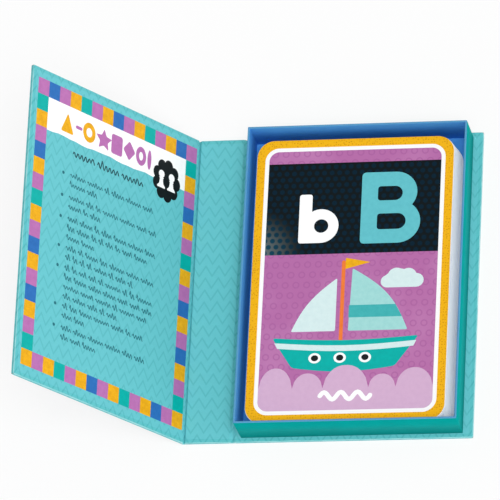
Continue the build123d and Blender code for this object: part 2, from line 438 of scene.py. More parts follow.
# %% Join outlines into a closed shape
def loft(rings, flats, lids=None):
    """Quads between neighbouring rings. With lids the ends are closed, else the last ring meets the first.

    rings is rings x points x 3, flats and lids are complex places on the unfolded sheet.
    """
    count = rings.shape[1]
    index = np.arange(rings.shape[0] * count).reshape(rings.shape[:2])
    lower, upper = (index, np.roll(index, -1, 0)) if lids is None else (index[:-1], index[1:])
    sides = np.stack([lower, np.roll(lower, -1, 1), np.roll(upper, -1, 1), upper], -1).reshape(-1, 4)
    faces = sides.tolist()
    flat = flats.ravel()[sides.ravel()]
    smooth = [True] * len(faces)
    if lids is not None:
        faces += [index[0, ::-1].tolist(), index[-1].tolist()]
        flat = np.concatenate([flat, lids[0][::-1], lids[1]])
        smooth += [False, False]
    return rings.reshape(-1, 3), faces, flat, smooth


def raised_rings(outlines, heights):
    """Complex outlines lifted to their heights: rings x points x 3."""
    heights = np.broadcast_to(np.asarray(heights)[:, None], outlines.shape)
    return np.stack([outlines.real, outlines.imag, heights], -1)


def along(inset, height):
    """How far out each profile point lies on the unfolded sheet: length along it, less the first inset."""
    steps = np.hypot(np.diff(inset), np.diff(height))
    return np.concatenate([[0], np.cumsum(steps)]) - inset[0]


pair = np.tile(rounded_outline(0, 1, 0, 1, 0.1), (2, 1))
print("two outlines make", len(loft(raised_rings(pair, [0, 1]), pair, pair)[1]), "faces")

# %% [markdown]
# ## The three leaves
#
# Each leaf is 1.5 mm greyboard in 0.15 mm paper. The wrap comes first, as one closed skin with edges
# rounded to 0.35 mm. The lining is a thinner sheet on top that stops short of the free edges, as it does
# on a case-bound book, so a narrow frame of turned-in wrap shows round it. At a joint the paper runs on
# to the next leaf, so the leaf ends square there.

# %% Draw a leaf's sheet
LEAF_CORNER = 0.8 * MM
LINING_ROUND = 0.05 * MM
SQUARE = 0.02 * MM  # corner radius that looks square


def leaf_sheet(x0, x1, free_left, free_right, margin, inset, height):
    """A sheet with free and joint edges: outlines drawn in by inset at the given heights."""
    flat_out = along(inset, height)

    def outline(by):
        free = np.array([free_right, free_right, free_left, free_left])
        left = x0 + (margin + by) * free_left
        right = x1 - (margin + by) * free_right
        half = HALF_HEIGHT - margin - by
        return rounded_outline(left, right, -half, half, np.where(free, LEAF_CORNER - by, SQUARE))

    outlines = np.array([outline(by) for by in inset])
    unfolded = np.array([outline(-by) for by in flat_out])
    return loft(raised_rings(outlines, height), unfolded, (outlines[0], outlines[-1]))


bend = np.linspace(0, np.pi / 2, 5)
wrap_inset = np.concatenate([EDGE_ROUND * (1 - np.sin(bend)), EDGE_ROUND * (1 - np.cos(bend))])
wrap_height = np.concatenate([EDGE_ROUND * (1 - np.cos(bend)), WRAP_TOP - EDGE_ROUND * (1 - np.sin(bend))])
lining_inset = np.array([0, 0, 0.3 * LINING_ROUND, LINING_ROUND])
lining_height = np.array([WRAP_TOP, LEAF_TOP - LINING_ROUND, LEAF_TOP - 0.3 * LINING_ROUND, LEAF_TOP])
print("lining stops", round(LINING_MARGIN / MM, 2), "mm short of the free edges")

# %% [markdown]
# The wrap and the lining of a leaf differ only in their margin and their profile, and the three leaves in
# their place and their free edges. Two short tables hold that, and one loop makes the six sheets. The
# cover's are made lying flat and then turned about the front fold.

# %% Wrap and line the leaves
def fold_over(points, share):
    """Turns points about the front fold by a share of the cover's angle: x cos + z sin, z cos - x sin."""
    angle = share * COVER_OPEN
    x, z = points[:, 0] - FRONT_FOLD, points[:, 2] - FOLD_Z
    turned = points.copy()
    turned[:, 0] = FRONT_FOLD + x * np.cos(angle) + z * np.sin(angle)
    turned[:, 2] = FOLD_Z - x * np.sin(angle) + z * np.cos(angle)
    return turned


LEAVES = {
    "back": ("back_case", back_low.x, back_high.x, False, True),
    "spine": ("spine", spine_low.x, spine_high.x, False, False),
    "cover": ("front_cover", COVER_X0, COVER_X1, True, False),
}
SHEETS = {
    "wrap": (0, wrap_inset, wrap_height, wrap_paper, "case_wrap_paper"),
    "lining": (LINING_MARGIN, lining_inset, lining_height, lining_paper, "case_lining_paper"),
}
for leaf, (body, *edges) in LEAVES.items():
    for part, (margin, inset, height, material, slot) in SHEETS.items():
        points, faces, flat, smooth = leaf_sheet(*edges, margin, inset, height)
        if leaf == "cover":
            points = fold_over(points, 1.0)
        piece = make_piece(f"{leaf}_{part}_paper", points, faces, material, body, flat, smooth)
        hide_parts(f"{leaf}_{part}")
print("leaves", len(LEAVES), "sheets", len(LEAVES) * len(SHEETS))

# %% [markdown]
# ## The two joints
#
# Between two leaves there is only paper: the wrap outside and the lining inside, pressed together into a
# shallow groove. A joint is a cross-section carried along the fold. Its underside is flat and its top is
# a trough, side height less depth times cos squared. It is cut into narrow strips, because it has to
# bend round the fold when the cover moves.

# %% Draw a joint's sheet
GROOVE = 1.05 * MM  # depth of the groove at the fold line
JOINT_STEPS = 14  # strips across a joint


def joint_strip(fold_x, underside, topside, half_length, end_round):
    """A strip between two lines of height over the joint, its ends drawn in like a wrapped edge."""
    across = np.linspace(-1, 1, JOINT_STEPS + 1)
    x = fold_x + HALF_JOINT * np.concatenate([across, across[::-1]])
    z = np.concatenate([underside(across), topside(across)[::-1]])
    centre = 0.5 * (z + z[::-1])
    turn = np.linspace(0, np.pi / 2, 4)
    drawn_in = end_round * (1 - np.sin(turn))
    y = half_length - end_round * (1 - np.cos(turn))
    y = np.concatenate([y, -y[::-1]])[:, None]
    drawn_in = np.concatenate([drawn_in, drawn_in[::-1]])[:, None]
    heights = centre + np.sign(z - centre) * np.maximum(np.abs(z - centre) - drawn_in, 0)
    rings = np.stack([np.broadcast_to(x, heights.shape), np.broadcast_to(y, heights.shape), heights], -1)
    flats = x + 1j * y
    return loft(rings, flats, (flats[0], flats[-1]))


def trough(side):
    """Height across a joint: side less the groove's depth times cos squared."""
    return lambda across: side - GROOVE * np.cos(across * np.pi / 2) ** 2


joint_wrap = joint_strip(0, np.zeros_like, trough(WRAP_TOP), HALF_HEIGHT, EDGE_ROUND)
print("a joint's wrap has", len(joint_wrap[1]), "faces")

# %% [markdown]
# Both joints have the same two sheets, so one loop makes the four. The front joint is drawn flat and then
# bent by the cover's angle, a little at a time across its width.

# %% Make the joints
BEND_REACH = 0.9  # share of the joint that bends
JOINTS = {
    "back": (BACK_FOLD, "back_case", "spine"),
    "front": (FRONT_FOLD, "spine", "front_cover"),
}
STRIPS = {
    "wrap": (np.zeros_like, trough(WRAP_TOP), 0, EDGE_ROUND, wrap_paper, "case_wrap_paper"),
    "lining": (trough(WRAP_TOP), trough(LEAF_TOP), LINING_MARGIN, LINING_ROUND, lining_paper,
               "case_lining_paper"),
}
for name, (fold_x, near, far) in JOINTS.items():
    for part, (underside, topside, margin, end_round, material, slot) in STRIPS.items():
        strip = joint_strip(fold_x, underside, topside, HALF_HEIGHT - margin, end_round)
        points, faces, flat, smooth = strip
        if name == "front":
            bent = np.clip(0.5 - 0.5 * (points[:, 0] - fold_x) / (BEND_REACH * HALF_JOINT), 0, 1)
            points = fold_over(points, bent * bent * (3 - 2 * bent))
        piece = make_piece(f"{name}_joint_{part}_paper", points, faces, material, None, flat, smooth)
        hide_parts(f"{name}_joint_{part}")
        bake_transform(piece)
print("joint", round(2 * HALF_JOINT / MM, 2), "mm wide, groove", round(GROOVE / MM, 2))

# %% [markdown]
# ## Tray papers
#
# The tray is thin board inside, darker teal paper outside and blue paper inside. Both papers are soft
# matt stock with a smooth coat. The blue paper is folded over the rim, and there it is rubbed paler
# where fingers and the closed cover touch it, so its colour is mixed by height.

# %% Two plain papers
RIM_WEAR = 0.35 * MM
PRESS_MARK = 9.0 * MM


def plain_paper(name, colour, shade, worn=None):
    """Evenly printed paper on Object coordinates, with soft cloudiness, and pale wear near the rim."""
    material, tree, shader = sheet_material(name, 0.6, 0.03)
    place = add(tree, "TexCoord", out="Object")
    tone = mottled(tree, place, PRESS_MARK, ink(colour), ink(shade), 0.6)
    tone = mottled(tree, place, MOTTLE, tone, ink(shade), 0.3)
    if worn:
        height = add(tree, "SeparateXYZ", [place], out="Z")
        rubbed = add(tree, "MapRange", [height, RIM_Z - RIM_WEAR, RIM_Z - 0.1 * RIM_WEAR, 0.0, 1.0])
        patchy = add(tree, "TexNoise", {"Vector": place, "Scale": 1 / MOTTLE, "Detail": 3.0})
        patchy = add(tree, "MapRange", [patchy, 0.3, 0.6, 0.75, 1.0])
        rubbed = add(tree, "Math", [rubbed, patchy], operation="MULTIPLY")
        tone = over(tree, rubbed, tone, ink(worn))
    tree.links.new(tone, shader.inputs["Base Color"])
    paper_grain(tree, shader, place, GRAIN, PAPER_RELIEF)
    return material


tray_wrap_paper = plain_paper("coated_paper_tray_wrap", "#009E9A", "#009591")
tray_lining = plain_paper("coated_paper_tray_lining", "#4F9BE0", "#4893D8", worn="#5B98BE")
print("papers", tray_wrap_paper.name, tray_lining.name)

# %% [markdown]
# ## The tray
#
# The walls are two rings of paper with the boards between them. Each ring is one profile carried round
# the tray's rounded outline: up the outside and down again for the wrap, and for the lining a thin skin
# inside that widens into the rounded rim. The hidden boards stay as the model made them.

# %% Wrap and line the tray
TRAY_CORNER = 0.4 * MM
RIM_ROUND = 0.3 * MM


def tray_ring(profile):
    """A closed profile of (inset, height) pairs carried round the tray's outline."""
    inset, height = np.array(profile).T
    flat_out = along(inset, height)

    def outline(by):
        sides = tray_low.x + by, tray_high.x - by, tray_low.y + by, tray_high.y - by
        return rounded_outline(*sides, np.maximum(TRAY_CORNER - by, SQUARE))

    outlines = np.array([outline(by) for by in inset])
    unfolded = np.array([outline(-by) for by in flat_out])
    return loft(raised_rings(outlines, height), unfolded)


shoulder = RIM_Z - RIM_ROUND
foot = tray_low.z
wrap_profile = [(0, foot), (0, shoulder), (PAPER, shoulder), (PAPER, foot)]
outer_arc = list(zip(RIM_ROUND * (1 - np.cos(bend)), shoulder + RIM_ROUND * np.sin(bend)))
inner_arc = [(TRAY_WALL - inset, height) for inset, height in outer_arc[::-1]]
under_rim = RIM_Z - PAPER
skin_foot = FLOOR_Z - PAPER
inside = [(TRAY_WALL, skin_foot), (TRAY_WALL - PAPER, skin_foot), (TRAY_WALL - PAPER, under_rim)]
hollow = [(PAPER, under_rim), (PAPER, shoulder)]
lining_profile = outer_arc + inner_arc + inside + hollow

TRAY_PAPERS = {
    "tray_wrap": ("tray_wrap_paper", wrap_profile, tray_wrap_paper, "tray_wrap_paper"),
    "tray_wall_lining": ("tray_inside_paper", lining_profile, tray_lining, "tray_lining_paper"),
}
for node, (name, profile, material, slot) in TRAY_PAPERS.items():
    points, faces, flat, smooth = tray_ring(profile)
    piece = make_piece(name, points, faces, material, "back_case", flat, smooth)
    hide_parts(node)
finish_nodes(["tray_floor_lining"], tray_lining)
print("tray rim at", round(RIM_Z / MM, 2), "mm")

# %% [markdown]
# ## Greyboard and tape
#
# The boards are greyboard, 1.5 mm in the case and 0.6 mm in the tray, pressed from waste paper: warm grey,
# with dark flecks. The tapes over the tray's corners are gummed kraft paper, smoother and more yellow. Both
# are covered by the printed papers, but a reader who takes the model apart sees them, so they get a finish.
# One function serves both, because pulp board and kraft paper differ only in colour and gloss.

# %% Finish the hidden boards and tapes
FLECK = 1.4 * MM  # real flecks are finer: drawn coarse enough to show


def pressed_board(name, ground, fleck, roughness):
    """Pulp board: soft cloud of two tones with small dark flecks, on Object coordinates."""
    material, tree, shader = sheet_material(name, roughness, 0.3)
    place = add(tree, "TexCoord", out="Object")
    tone = mottled(tree, place, 6 * FLECK, ink(ground), ink(fleck), 0.5)
    spots = add(tree, "TexVoronoi", {"Vector": place, "Scale": 1 / FLECK})
    spots = add(tree, "MapRange", [spots, 0.1, 0.3, 0.7, 0.0])
    tone = over(tree, spots, tone, ink(fleck))
    tree.links.new(tone, shader.inputs["Base Color"])
    paper_grain(tree, shader, place, GRAIN, BOARD_RELIEF)
    return material


greyboard = pressed_board("pressed_greyboard", "#A9A59C", "#8C877D", 0.85)
kraft_tape = pressed_board("gummed_kraft_tape", "#B58A5E", "#A0764C", 0.6)
boards = [name for name in frame["nodes"] if name.endswith("_board") or name.startswith("tray_wall_")]
boards.remove("tray_wall_lining")
finish_nodes(boards, greyboard)
finish_nodes(["tray_corner_stays"], kraft_tape)
print("boards", len(boards))

# %% [markdown]
# ## The border of a card
#
# Every card has the same frame: a yellow border, a white keyline and a panel inside it. Strips of mesh
# could make it, but a material draws it sharper, and the same nodes serve all 52 cards. It needs one
# number, the distance inwards from the rounded border line. That distance is the usual one for a rounded
# box: beyond the corner centres it is the straight-line length, and between them it is the nearer side.

# %% Measure from a rounded border in nodes
BORDER = 4.1 * MM
BORDER_CORNER = 7.0 * MM
KEYLINE = 2.0 * MM
SOFT_EDGE = 0.06 * MM  # ink spread at the edge of a colour


def inside_distance(tree, axes, half_x, half_y, radius):
    """Distance inwards from a rounded rectangle: radius less the length beyond the corner centre."""
    over_x = add(tree, "Math", [add(tree, "Math", [axes[0]], operation="ABSOLUTE"), half_x - radius],
                 operation="SUBTRACT")
    over_y = add(tree, "Math", [add(tree, "Math", [axes[1]], operation="ABSOLUTE"), half_y - radius],
                 operation="SUBTRACT")
    out_x = add(tree, "Math", [over_x, 0.0], operation="MAXIMUM")
    out_y = add(tree, "Math", [over_y, 0.0], operation="MAXIMUM")
    corner = add(tree, "CombineXYZ", [out_x, out_y])
    corner = add(tree, "VectorMath", [corner], out="Value", operation="LENGTH")
    nearer = add(tree, "Math", [over_x, over_y], operation="MAXIMUM")
    nearer = add(tree, "Math", [nearer, 0.0], operation="MINIMUM")
    outside = add(tree, "Math", [corner, nearer], operation="ADD")
    return add(tree, "Math", [radius, outside], operation="SUBTRACT")


def past(tree, value, edge, soft=SOFT_EDGE):
    """0 before an edge and 1 past it, soft over a short way."""
    return add(tree, "MapRange", [value, edge - soft, edge + soft, 0.0, 1.0])


print("border", round(BORDER / MM, 1), "mm, keyline", round(KEYLINE / MM, 1), "mm")

# %% [markdown]
# ## Staggered cells
#
# Two printed patterns of the card are the same idea: staggered dark-blue dots on the black band, and faint
# rings on the purple field. They are rows of cells, every second row shifted by half a cell. The distance
# from the middle of the cell then decides between dot or ring and ground.

# %% Measure in staggered cells
DOT_PITCH = 3.8 * MM
DOT_ROW = 3.25 * MM
DOT = 1.25 * MM  # radius
RING_PITCH = 5.4 * MM
RING = 1.45 * MM  # radius
RING_LINE = 0.35 * MM


def cell_distance(tree, axes, pitch, row):
    """Distance to the middle of the nearest cell, in rows that are shifted by half a pitch in turn."""
    level = add(tree, "Math", [axes[1], row], operation="DIVIDE")
    line = add(tree, "Math", [level], operation="FLOOR")
    odd = add(tree, "Math", [line, 2.0], operation="FLOORED_MODULO")
    shifted = add(tree, "Math", [odd, pitch / 2, axes[0]], operation="MULTIPLY_ADD")
    across = add(tree, "Math", [shifted, pitch], operation="FLOORED_MODULO")
    across = add(tree, "Math", [across, pitch / 2], operation="SUBTRACT")
    upward = add(tree, "Math", [add(tree, "Math", [level], operation="FRACT"), 0.5], operation="SUBTRACT")
    upward = add(tree, "Math", [upward, row], operation="MULTIPLY")
    away = add(tree, "CombineXYZ", [across, upward])
    return add(tree, "VectorMath", [away], out="Value", operation="LENGTH")


print("dots across a card", round(CARD_WIDTH / DOT_PITCH), "and rings", round(CARD_WIDTH / RING_PITCH))

# %% [markdown]
# ## The two grounds of a card
#
# The picture stands on a purple field with rings, and the letters on a black band with dots. The varnish
# over them shines softly in places. The studio here holds nothing that it could mirror, so the shine is
# painted as a highlight: a soft cloud makes the purple a little paler in places, and one corner of the band
# is paler too.

# %% Draw the field and the band
GLARE = 26 * MM  # size of the soft shine in the varnish
DOT_SOFT = 0.2 * MM  # ink spread at the edge of a dot


def picture_field(tree, local, axes):
    """Purple ground with a painted highlight, a soft cloud of noise, and a ring where a cell's distance is
    near its radius.
    """
    # painted highlight: the purple is paler in soft clouds
    cloud = add(tree, "TexNoise", {"Vector": local, "Scale": 1 / GLARE, "Detail": 2.0})
    cloud = add(tree, "MapRange", [cloud, 0.45, 0.75, 0.0, 0.45])
    purple = over(tree, cloud, ink("#B46CA5"), ink("#C78ABA"))
    ring = cell_distance(tree, axes, RING_PITCH, RING_PITCH)
    ring = add(tree, "Math", [ring, RING], operation="SUBTRACT")
    ring = add(tree, "Math", [ring], operation="ABSOLUTE")
    ring = add(tree, "MapRange", [ring, 0.5 * RING_LINE, 1.3 * RING_LINE, 0.55, 0.0])
    return over(tree, ring, purple, ink("#A25A97"))


def letter_band(tree, axes, foot_line):
    """Black ground with blue dots, and a painted highlight that pales both towards the left end of its foot
    line.
    """
    corner = add(tree, "CombineXYZ", [axes[0], axes[1]])
    corner = add(tree, "VectorMath", [corner, (-CARD_WIDTH / 2, foot_line, 0.0)], out="Value",
                 operation="DISTANCE")
    # painted highlight: the band and its dots pale towards that corner
    sheen = add(tree, "MapRange", [corner, 0.0, GLARE, 0.5, 0.0], interpolation_type="SMOOTHSTEP")
    black = over(tree, sheen, ink("#0B1418"), ink("#8A999C"))
    blue = over(tree, sheen, ink("#06202F"), ink("#1D5F78"))
    dot = cell_distance(tree, axes, DOT_PITCH, DOT_ROW)
    dot = add(tree, "MapRange", [dot, DOT - DOT_SOFT, DOT + DOT_SOFT, 1.0, 0.0])
    return over(tree, dot, black, blue)


print("shine of", round(GLARE / MM), "mm on a card of", round(CARD_WIDTH / MM), "mm")

# %% [markdown]
# ## The face of a card
#
# Inside the border a card has a purple head strip, the black band and the purple field. Each colour is
# printed over the one before, as on the press, and the distance inwards and the height on the card say
# where it begins. Specks from a cell pattern break up the yellow of the border.

# %% Draw the face in nodes
HEAD_STRIP = 6.6 * MM
BAND = 48.8 * MM
SPECK = 1.3 * MM


def card_face(tree, place, centre, trim):
    """Colour of a card's face: border, keyline and panel. trim leaves the outermost rim unprinted."""
    local = add(tree, "Mapping", {"Vector": place, "Location": (-centre[0], -centre[1], 0.0)})
    parts = add(tree, "SeparateXYZ", [local]).node
    axes = parts.outputs[0], parts.outputs[1]
    inwards = inside_distance(tree, axes, CARD_WIDTH / 2 - BORDER, CARD_HEIGHT / 2 - BORDER, BORDER_CORNER)
    top = CARD_HEIGHT / 2 - BORDER - KEYLINE
    band_top, band_foot = top - HEAD_STRIP, top - HEAD_STRIP - BAND

    specks = add(tree, "TexVoronoi", {"Vector": local, "Scale": 1 / SPECK, "Randomness": 0.6})
    specks = add(tree, "MapRange", [specks, 0.16, 0.36, 0.85, 0.0])
    yellow = over(tree, specks, ink("#F3B51B"), ink("#CE8B15"))

    below_top = add(tree, "Math", [1.0, past(tree, axes[1], band_top)], operation="SUBTRACT")
    banded = add(tree, "Math", [past(tree, axes[1], band_foot), below_top], operation="MULTIPLY")
    field, band = picture_field(tree, local, axes), letter_band(tree, axes, band_foot)
    panel = over(tree, banded, field, band)
    if trim:
        yellow = over(tree, past(tree, inwards, trim - BORDER), ink("#FAFAF8"), yellow)
    framed = over(tree, past(tree, inwards, 0.0), yellow, ink("#FBFBFA"))
    return over(tree, past(tree, inwards, KEYLINE), framed, panel)


print("head strip", round(HEAD_STRIP / MM, 1), "mm, band", round(BAND / MM, 1), "mm")

# %% [markdown]
# ## Card stock
#
# The cards are coated stock, printed and varnished, so their colours are full and their shine is broad and
# soft. The upper side shows the face, the under side a plain teal back, and the cut edge the pale pulp. The
# direction that a surface looks in tells the three apart. A white rim is left on all but the top card,
# because in a stack of slipped cards only the rims show, and they look white there.

# %% Give every card its stock
TRIM = 1.0 * MM  # white rim of the cards in the stack
SHOWN_TRIM = 0.45 * MM  # narrower where the whole face comes to light


def card_stock(name, centre, trim):
    """Varnished card: printed face above, teal back below, off-white pulp at the cut edge."""
    material, tree, shader = sheet_material(name, 0.4, 0.06)
    place = add(tree, "TexCoord", out="Object")
    face = card_face(tree, place, centre, trim)
    back = mottled(tree, place, MOTTLE, ink("#69C5CD"), ink("#5CB9C0"), 0.8)
    edge = mottled(tree, place, GRAIN * 4, ink("#FDFCFA"), ink("#EEEDEB"), 0.8)
    facing = add(tree, "SeparateXYZ", [add(tree, "NewGeometry", out="True Normal")], out="Z")
    colour = over(tree, past(tree, facing, 0.5, 0.1), edge, face)
    under = add(tree, "Math", [facing, -1.0], operation="MULTIPLY")
    colour = over(tree, past(tree, under, 0.5, 0.1), colour, back)
    tree.links.new(colour, shader.inputs["Base Color"])
    paper_grain(tree, shader, place, GRAIN * 2, CARD_RELIEF)
    return material


def middle(node):
    """Centre of a node's box: half the sum of its two corners."""
    low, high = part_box(node)
    return (low + high) / 2


deck_pairs = sorted(name for name in frame["nodes"] if name.startswith("card_pair_"))
finish_nodes(deck_pairs, card_stock("varnished_card_stock", middle(deck_pairs[0]), TRIM))
SHOWN_CARDS = {"b": "card_b_top", "b_under": "card_b_under", "a": "card_pair_a", "m": "card_pair_m"}
for short, node in SHOWN_CARDS.items():
    trim = 0.0 if short == "b" else SHOWN_TRIM
    finish_nodes([node], card_stock("varnished_card_" + short, middle(node), trim))
print("cards", len(deck_pairs), "pairs and two on top")

# %% [markdown]
# ## Printed shapes as films of ink
#
# Large printed shapes could be drawn in the material too, but a letter or a boat is easier to see and to
# change as an outline. So each one is a closed film, a few hundredths of a millimetre thick at most, cut
# from an outline of complex numbers, where x is the real part and y the imaginary one. Outlines run
# anticlockwise, and their points are worked out as whole arrays.

# %% Outlines: softened corners, strokes and discs
def soften(corners, cut):
    """Rounds a polygon's corners: a parabola from a cut before each corner to a cut after it."""
    corners = np.asarray(corners, complex)
    before, after = np.roll(corners, 1) - corners, np.roll(corners, -1) - corners
    start = corners + before * np.minimum(cut / abs(before), 0.5)
    end = corners + after * np.minimum(cut / abs(after), 0.5)
    t = np.linspace(0, 1, 6)[:, None]
    return ((1 - t) ** 2 * start + 2 * t * (1 - t) * corners + t * t * end).T.ravel()


def ribbon(path, width):
    """Outline of each stroke: its path moved half a width to each side, with half circles at the ends."""
    path = np.atleast_2d(path)
    ahead = np.gradient(path, axis=1)
    ahead = ahead / abs(ahead)
    side = 0.5j * width * ahead
    turn = 0.5 * width * np.exp(1j * np.linspace(-np.pi / 2, np.pi / 2, 5)[1:-1])
    head, tail = path[:, -1:] + ahead[:, -1:] * turn, path[:, :1] - ahead[:, :1] * turn
    return np.concatenate([path - side, head, (path + side)[:, ::-1], tail], axis=1)


def disc(centre, radius, steps=28):
    """Circle: centre + radius (cos a + i sin a)."""
    return centre + radius * np.exp(2j * np.pi * np.arange(steps) / steps)


def arc(centre, radius, first, last, steps=16):
    """Part of a circle between two angles in degrees."""
    return centre + radius * np.exp(1j * np.radians(np.linspace(first, last, steps)))


def star(centre, radius, points=5, depth=0.5, cut=0.12):
    """Star: corners at radius and at depth times radius in turn, softened."""
    reach = np.where(np.arange(2 * points) % 2, depth, 1.0) * radius
    turn = np.arange(2 * points) / points + 0.5
    return soften(centre + reach * np.exp(1j * np.pi * turn), cut * radius)


print("a stroke of four points has", ribbon(np.arange(4) + 0j, 0.3).shape[1], "outline points")

# %% [markdown]
# ## Inks
#
# Offset ink lies flat and full on coated stock. Up close it is almost even, with a faint mottle, and
# under varnish it has a soft shine. The yellow is a screen of two inks, so fine orange specks show in it.
# Every colour is one material with a second, slightly darker shade for the mottle.

# %% Mix the inks
SPECKLED = {"yellow"}
INKS = {
    "teal": ("#65C1CA", "#5DB8C2"), "deep_teal": ("#45B3B4", "#3CA9AB"), "pale_teal": ("#A4DAD7", "#98D2D0"),
    "mist": ("#D8ECEC", "#CFE5E6"), "white": ("#FFFFFF", "#FAFAFA"), "yellow": ("#F3B51B", "#DC9C18"),
    "orange": ("#F0803C", "#E67331"), "lilac": ("#D5B0CF", "#CFA9CA"), "plum": ("#BC74B4", "#B069A9"),
    "blue": ("#2F71BA", "#2968B0"), "green_teal": ("#04B1A9", "#06A69F"), "black": ("#101416", "#191E21"),
    "text": ("#2A727D", "#256974"), "heading": ("#1F4A52", "#1A4249"),
}


def offset_ink(name, colour, shade):
    """Offset ink under varnish: nearly even, with print mottle, and orange specks in the yellow."""
    material, tree, shader = sheet_material("offset_ink_" + name, 0.36, 0.12)
    place = add(tree, "TexCoord", out="Object")
    tone = mottled(tree, place, MOTTLE, ink(colour), ink(shade), 0.7)
    if name in SPECKLED:
        specks = add(tree, "TexVoronoi", {"Vector": place, "Scale": 1 / SPECK, "Randomness": 0.6})
        specks = add(tree, "MapRange", [specks, 0.14, 0.32, 0.7, 0.0])
        tone = over(tree, specks, tone, ink(shade))
    tree.links.new(tone, shader.inputs["Base Color"])
    paper_grain(tree, shader, place, GRAIN * 2, CARD_RELIEF)
    return material


inks = {name: offset_ink(name, *pair) for name, pair in INKS.items()}
print("inks", ", ".join(inks))

# %% [markdown]
# ## From outlines to a film
#
# A film has a lid below and a lid above, and a wall that runs along each of its outlines. A shape without
# holes gets one many-sided lid, which Blender fills by itself. A shape with holes needs its lid cut into
# triangles first, and its holes run the other way round, so that their walls face into them.

# %% Close outlines into a film
def lid_triangles(loops):
    """Triangles of an outline with holes, turned anticlockwise."""
    flat = np.concatenate(loops)
    found = tessellate_polygon([[Vector((p.real, p.imag, 0)) for p in loop.tolist()] for loop in loops])
    triangles = np.array([list(t) for t in found])
    a, b, c = (flat[triangles[:, i]] for i in range(3))
    turned = ((b - a) * (c - a).conj()).imag > 0
    triangles[turned] = triangles[turned][:, ::-1]
    return triangles


def film_faces(loops, first):
    """Faces of a closed film, whose points are its outlines below and then above, from number first on."""
    count = sum(len(loop) for loop in loops)
    faces, start = [], first
    for loop in loops:
        near = start + np.arange(len(loop))
        far = np.roll(near, -1)
        faces += np.stack([near, far, far + count, near + count], -1).tolist()
        start += len(loop)
    if len(loops) == 1:
        ring = first + np.arange(count)
        return faces + [ring[::-1].tolist(), (ring + count).tolist()]
    lid = first + lid_triangles(loops)
    return faces + lid[:, ::-1].tolist() + (lid + count).tolist()


def clockwise(loop):
    """The same outline run the other way round, for a hole."""
    return np.asarray(loop)[::-1]


tile = np.array([0, 4, 4 + 4j, 4j])
tile_film = film_faces([tile, clockwise(tile / 2 + 1 + 1j)], 0)
print("the film of a square with a square hole has", len(tile_film), "faces")

# %% [markdown]
# ## The letters
#
# A card shows a capital and a small letter and a thing that begins with it. A font could supply letters,
# but its outlines are somebody's drawing. These are plain drawing-board ones, made from arcs and softened
# polygons. The two bowls of a capital B are circles that meet at a waist, and the bowl of a small b is a
# circle that runs into its stem. Both are for the top pair.

# %% Draw the letter B
def meeting(first, first_radius, second, second_radius):
    """Right-hand meeting point of two circles, one above the other."""
    apart = second - first
    length = abs(apart)
    along_line = (length ** 2 + first_radius ** 2 - second_radius ** 2) / (2 * length)
    aside = math.sqrt(first_radius ** 2 - along_line ** 2)
    return first + apart / length * (along_line - 1j * aside)


def direction(point):
    """Angle of a point seen from the origin, in degrees."""
    return math.degrees(np.angle(point))


def capital_b(at):
    """A stem with two bowls: arcs of two circles up to their waist, and two rounded holes."""
    low, low_radius, high, high_radius = 18.6 + 11.3j, 11.3, 17.0 + 27.1j, 10.9
    waist = meeting(low, low_radius, high, high_radius)
    outer = np.concatenate([
        arc(2 + 2j, 2, 180, 270, 5), arc(low, low_radius, -90, direction(waist - low)),
        arc(high, high_radius, direction(waist - high), 90), arc(2 + 36j, 2, 90, 180, 5)])
    lower = np.concatenate([arc(9.6 + 8.8j, 1.4, 180, 270, 5), arc(18.4 + 11.6j, 4.2, -90, 90),
                            arc(9.6 + 14.4j, 1.4, 90, 180, 5)])
    upper = np.concatenate([arc(9.6 + 24.2j, 1.4, 180, 270, 5), arc(16.8 + 26.6j, 3.8, -90, 90),
                            arc(9.6 + 29.0j, 1.4, 90, 180, 5)])
    return [loop + at for loop in (outer, clockwise(lower), clockwise(upper))]


def small_b(at):
    """A tall stem that runs into the circle of a bowl."""
    bowl, radius, stem = 11.0 + 9.0j, 9.0, 6.4
    shoulder = 180 - math.degrees(math.acos((bowl.real - stem) / radius))
    outer = np.concatenate([arc(1.2 + 1.2j, 1.2, 180, 270, 4), arc(bowl, radius, -90, shoulder, 24),
                            arc(stem - 1.2 + 24.8j, 1.2, 0, 90, 4), arc(1.2 + 24.8j, 1.2, 90, 180, 4)])
    return [loop + at for loop in (outer, clockwise(disc(bowl + 0.3, 3.6)))]


print("capital B has", sum(len(loop) for loop in capital_b(0)), "points")

# %% [markdown]
# The letter A is for the pair under the top one. The capital is a polygon, and the small one is a bowl
# like the small b's with a shorter stem on its other side.

# %% Draw the letter A
def capital_a(at):
    """A softened polygon with a triangular hole."""
    outer = soften([0, 7.6, 10.2 + 8.2j, 21.2 + 8.2j, 23.6, 31.6, 20.2 + 38j, 11.4 + 38j], 1.4)
    hole = soften([12.4 + 14.6j, 19.2 + 14.6j, 15.8 + 27j], 1.0)
    return [loop + at for loop in (outer, clockwise(hole))]


def small_a(at):
    """The circle of a bowl that runs into a short stem."""
    bowl, radius, left, right_side = 9.4 + 9.2j, 9.2, 13.4, 19.4
    first = math.degrees(math.acos((left - bowl.real) / radius))
    outer = np.concatenate([
        arc(right_side - 1.2 + 1.2j, 1.2, -90, 0, 4), arc(right_side - 1.2 + 17.4j, 1.2, 0, 90, 4),
        [left + 18.6j], arc(bowl, radius, first, 360 - first, 30), [left + 0j]])
    return [loop + at for loop in (outer, clockwise(disc(bowl - 0.2, 3.7)))]


print("capital A has", sum(len(loop) for loop in capital_a(0)), "points")

# %% [markdown]
# The letter M is for the pair where the deck is cut. The capital is the same on both sides, so only half of
# it is drawn. The small one has three stems under two humps.

